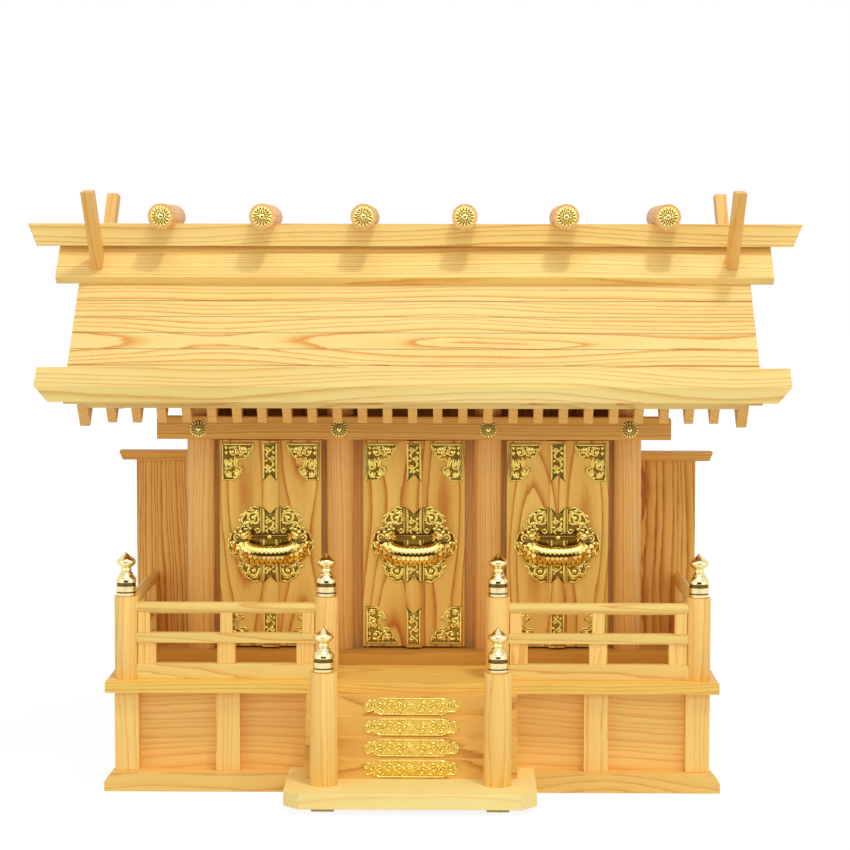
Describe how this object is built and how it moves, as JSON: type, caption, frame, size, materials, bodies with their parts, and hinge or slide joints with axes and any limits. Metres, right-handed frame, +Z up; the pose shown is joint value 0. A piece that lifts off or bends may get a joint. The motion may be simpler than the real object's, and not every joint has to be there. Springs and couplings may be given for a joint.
{
  "type": "household shinto altar",
  "caption": "Plain zelkova household altar with three shrines side by side under one long gabled roof, paired opening doors, railed floor, front stairs and gilt fittings.",
  "frame": {"origin": "on the shelf, under the middle of the whole altar", "axes": "+Z up, -Y towards the worshipper in front of the stairs, +X to the worshipper's right"},
  "size_m": [0.515, 0.2766, 0.3831],
  "materials": {
    "finial_gold": "polished pale gilt",
    "frame_zelkova": "planed, unvarnished, fine pale grain",
    "gilt_brass": "bright gilt, pressed pattern",
    "lock_gold": "bright gilt, engraved, with a darkened bar",
    "panel_zelkova": "planed, unvarnished, straight grain",
    "roof_zelkova": "planed, unvarnished, flame grain"
  },
  "bodies": {
    "altar": {"back_wall": "panel_zelkova", "barge_boards_back": "frame_zelkova", "barge_boards_front": "frame_zelkova", "base_frame": "frame_zelkova", "base_panels": "panel_zelkova", "base_posts": "frame_zelkova", "beam_rosettes": "gilt_brass", "door_jambs": "frame_zelkova", "eave_board_back": "roof_zelkova", "eave_board_front": "roof_zelkova", "fascia_strip_back": "frame_zelkova", "fascia_strip_front": "frame_zelkova", "finials": "finial_gold", "floor_board": "frame_zelkova", "front_beam": "frame_zelkova", "head_rail": "frame_zelkova", "log_rosettes": "gilt_brass", "newel_posts": "frame_zelkova", "pillars": "frame_zelkova", "rafters_back": "frame_zelkova", "rafters_front": "frame_zelkova", "railing_bottom_rails": "frame_zelkova", "railing_middle_rails": "frame_zelkova", "railing_posts": "frame_zelkova", "railing_struts": "frame_zelkova", "railing_top_rails": "frame_zelkova", "ridge_board": "roof_zelkova", "ridge_cover_back": "roof_zelkova", "ridge_cover_front": "roof_zelkova", "ridge_crossbars": "roof_zelkova", "ridge_logs": "roof_zelkova", "roof_board_back": "roof_zelkova", "roof_board_front": "roof_zelkova", "screen_caps": "frame_zelkova", "side_screens": "panel_zelkova", "side_walls": "panel_zelkova", "sill": "frame_zelkova", "stair_plate": "frame_zelkova", "stair_steps": "frame_zelkova", "step_plates": "gilt_brass"},
    "left_door_lead_leaf": {"door_left_lead": "panel_zelkova", "door_left_lead_fittings": "gilt_brass", "door_left_lock": "lock_gold"},
    "left_door_second_leaf": {"door_left_second": "panel_zelkova", "door_left_second_fittings": "gilt_brass"},
    "centre_door_lead_leaf": {"door_centre_lead": "panel_zelkova", "door_centre_lead_fittings": "gilt_brass", "door_centre_lock": "lock_gold"},
    "centre_door_second_leaf": {"door_centre_second": "panel_zelkova", "door_centre_second_fittings": "gilt_brass"},
    "right_door_lead_leaf": {"door_right_lead": "panel_zelkova", "door_right_lead_fittings": "gilt_brass", "door_right_lock": "lock_gold"},
    "right_door_second_leaf": {"door_right_second": "panel_zelkova", "door_right_second_fittings": "gilt_brass"}
  },
  "joints": [
    {"name": "left_door_open", "type": "hinge", "parent": "altar", "child": "left_door_lead_leaf", "pos_m": [-0.12655, 0.01545, 0.079], "axis": [0, 0, -1], "range_deg": [0, 90]},
    {"name": "left_door_second_open", "type": "hinge", "parent": "altar", "child": "left_door_second_leaf", "pos_m": [-0.06455, 0.01545, 0.079], "axis": [0, 0, 1], "range_deg": [0, 90]},
    {"name": "centre_door_open", "type": "hinge", "parent": "altar", "child": "centre_door_lead_leaf", "pos_m": [-0.031, 0.01545, 0.079], "axis": [0, 0, -1], "range_deg": [0, 90]},
    {"name": "centre_door_second_open", "type": "hinge", "parent": "altar", "child": "centre_door_second_leaf", "pos_m": [0.031, 0.01545, 0.079], "axis": [0, 0, 1], "range_deg": [0, 90]},
    {"name": "right_door_open", "type": "hinge", "parent": "altar", "child": "right_door_lead_leaf", "pos_m": [0.06455, 0.01545, 0.079], "axis": [0, 0, -1], "range_deg": [0, 90]},
    {"name": "right_door_second_open", "type": "hinge", "parent": "altar", "child": "right_door_second_leaf", "pos_m": [0.12655, 0.01545, 0.079], "axis": [0, 0, 1], "range_deg": [0, 90]}
  ],
  "couplings": [
    {"joint": "left_door_second_open", "follows": "left_door_open", "ratio": 1},
    {"joint": "centre_door_second_open", "follows": "centre_door_open", "ratio": 1},
    {"joint": "right_door_second_open", "follows": "right_door_open", "ratio": 1}
  ]
}
